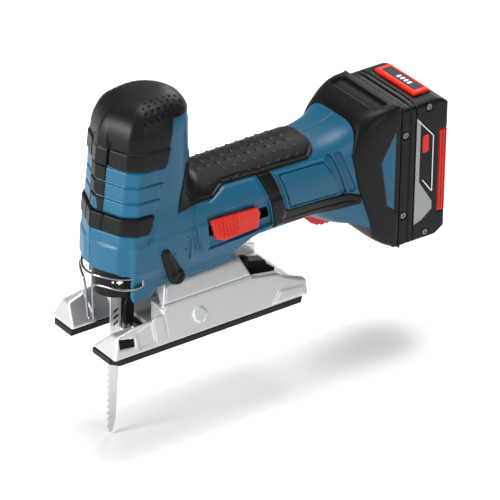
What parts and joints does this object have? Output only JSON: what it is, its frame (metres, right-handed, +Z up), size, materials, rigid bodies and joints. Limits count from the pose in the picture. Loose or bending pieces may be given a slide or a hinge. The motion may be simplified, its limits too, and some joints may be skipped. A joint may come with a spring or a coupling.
{
  "type": "cordless jigsaw",
  "caption": "Barrel-grip cordless jigsaw with upright gear head, slotted bevel base plate, wire blade guard, sliding switch and a slide-on rear battery pack.",
  "frame": {"origin": "centre of the sole plate's underside, on the bevel axis", "axes": "+X to the rear (battery end), +Z up from the work surface, -Y is the side with the orbit selector lever"},
  "size_m": [0.291, 0.079, 0.2645],
  "materials": {
    "blue_nylon": "satin",
    "black_rubber": "matt",
    "black_plastic": "satin",
    "red_plastic": "satin",
    "cast_alloy": "satin",
    "sole_black": "satin",
    "tool_steel": "ground",
    "blade_steel": "bright",
    "chrome_wire": "polished",
    "motor_steel": "plated",
    "magnet_grey": "sintered",
    "copper_alloy": "bright",
    "bronze": "sintered",
    "board_green": "satin",
    "wire_red": "satin",
    "wire_black": "satin",
    "cell_wrap": "satin"
  },
  "bodies": {
    "housing": {"housing_left": "blue_nylon", "housing_right": "blue_nylon", "knob_cap": "black_rubber", "front_grip_rubber": "black_rubber", "top_grip_rubber": "black_rubber", "foot_overmould": "black_rubber", "side_trim": "black_plastic", "motor_can": "motor_steel", "motor_magnets": "magnet_grey", "motor_end_bell": "black_plastic", "motor_bearings": "tool_steel", "motor_brushes": "copper_alloy", "gear_axle": "tool_steel", "gear_case": "cast_alloy", "plunger_bush_lower": "bronze", "plunger_bush_upper": "bronze", "wire_guard": "chrome_wire", "switch_module": "black_plastic", "circuit_board": "board_green", "battery_lead_red": "wire_red", "battery_lead_black": "wire_black", "speed_wheel_axle": "tool_steel", "battery_shoe": "black_plastic", "tool_contacts": "copper_alloy", "housing_screws": "tool_steel"},
    "base_assembly": {"sole_plate": "sole_black", "base_plate": "cast_alloy", "saddle": "cast_alloy", "saddle_screws": "tool_steel"},
    "clamp_lever": {"bevel_clamp_lever": "black_plastic"},
    "rotor": {"rotor_shaft": "tool_steel", "armature": "motor_steel", "commutator": "copper_alloy", "motor_pinion": "tool_steel", "cooling_fan": "black_plastic"},
    "drive_wheel": {"drive_gear": "tool_steel", "crank_pin": "tool_steel", "counterweight": "tool_steel"},
    "plunger": {"plunger_rod": "tool_steel", "plunger_yoke": "tool_steel", "blade_holder": "tool_steel", "saw_blade": "blade_steel"},
    "release_ring": {"blade_release_ring": "black_plastic"},
    "guide": {"guide_fork": "tool_steel", "fork_pins": "tool_steel"},
    "guide_wheel": {"guide_roller": "tool_steel"},
    "orbit_selector": {"orbit_lever": "black_plastic", "orbit_shaft": "tool_steel"},
    "slide_switch": {"switch_slider_left": "red_plastic", "switch_slider_right": "red_plastic", "switch_link": "black_plastic"},
    "speed_dial": {"speed_wheel": "red_plastic"},
    "battery_pack": {"battery_case": "black_plastic", "battery_cover": "black_plastic", "battery_contacts": "copper_alloy", "battery_cells": "cell_wrap", "battery_screws": "tool_steel"},
    "pack_latch": {"latch_button": "red_plastic", "latch_pad": "black_plastic"}
  },
  "joints": [
    {"name": "bevel_tilt", "type": "hinge", "parent": "housing", "child": "base_assembly", "pos_m": [0, 0, 0], "axis": [1, 0, 0], "range_deg": [-45, 45]},
    {"name": "bevel_clamp_swing", "type": "hinge", "parent": "base_assembly", "child": "clamp_lever", "pos_m": [0.043, -0.013, 0.02], "axis": [0, 0, 1], "range_deg": [0, 35]},
    {"name": "drive_wheel_spin", "type": "hinge", "parent": "housing", "child": "drive_wheel", "pos_m": [-0.024, 0, 0.106], "axis": [1, 0, 0], "continuous": true},
    {"name": "rotor_spin", "type": "hinge", "parent": "housing", "child": "rotor", "pos_m": [0.03, 0, 0.08], "axis": [1, 0, 0], "continuous": true},
    {"name": "blade_stroke", "type": "slide", "parent": "housing", "child": "plunger", "axis": [0, 0, 1], "range_m": [-0.013, 0.013]},
    {"name": "release_ring_turn", "type": "hinge", "parent": "housing", "child": "release_ring", "pos_m": [-0.055, 0, 0.05], "axis": [0, 0, 1], "range_deg": [0, 25], "stiffness_Nm_per_rad": 0.3},
    {"name": "guide_swing", "type": "hinge", "parent": "housing", "child": "guide", "pos_m": [-0.0465, 0, 0.051], "axis": [0, 1, 0], "range_deg": [-1.2, 0]},
    {"name": "guide_roller_spin", "type": "hinge", "parent": "guide", "child": "guide_wheel", "pos_m": [-0.0476, 0, 0.005], "axis": [0, 1, 0], "continuous": true},
    {"name": "orbit_select", "type": "hinge", "parent": "housing", "child": "orbit_selector", "pos_m": [-0.0278, -0.034, 0.0525], "axis": [0, 1, 0], "range_deg": [0, 54]},
    {"name": "switch_slide", "type": "slide", "parent": "housing", "child": "slide_switch", "axis": [1, 0, 0], "range_m": [0, 0.006]},
    {"name": "speed_dial_turn", "type": "hinge", "parent": "housing", "child": "speed_dial", "pos_m": [0.1225, 0, 0.0516], "axis": [0, 1, 0], "range_deg": [-135, 135]},
    {"name": "battery_slide", "type": "slide", "parent": "housing", "child": "battery_pack", "axis": [0, 0, 1], "range_m": [0, 0.125]},
    {"name": "latch_press", "type": "slide", "parent": "battery_pack", "child": "pack_latch", "axis": [0, 0, -1], "range_m": [0, 0.0012], "stiffness_N_per_m": 1500}
  ],
  "couplings": [
    {"joint": "rotor_spin", "follows": "drive_wheel_spin", "ratio": -4.2}
  ]
}
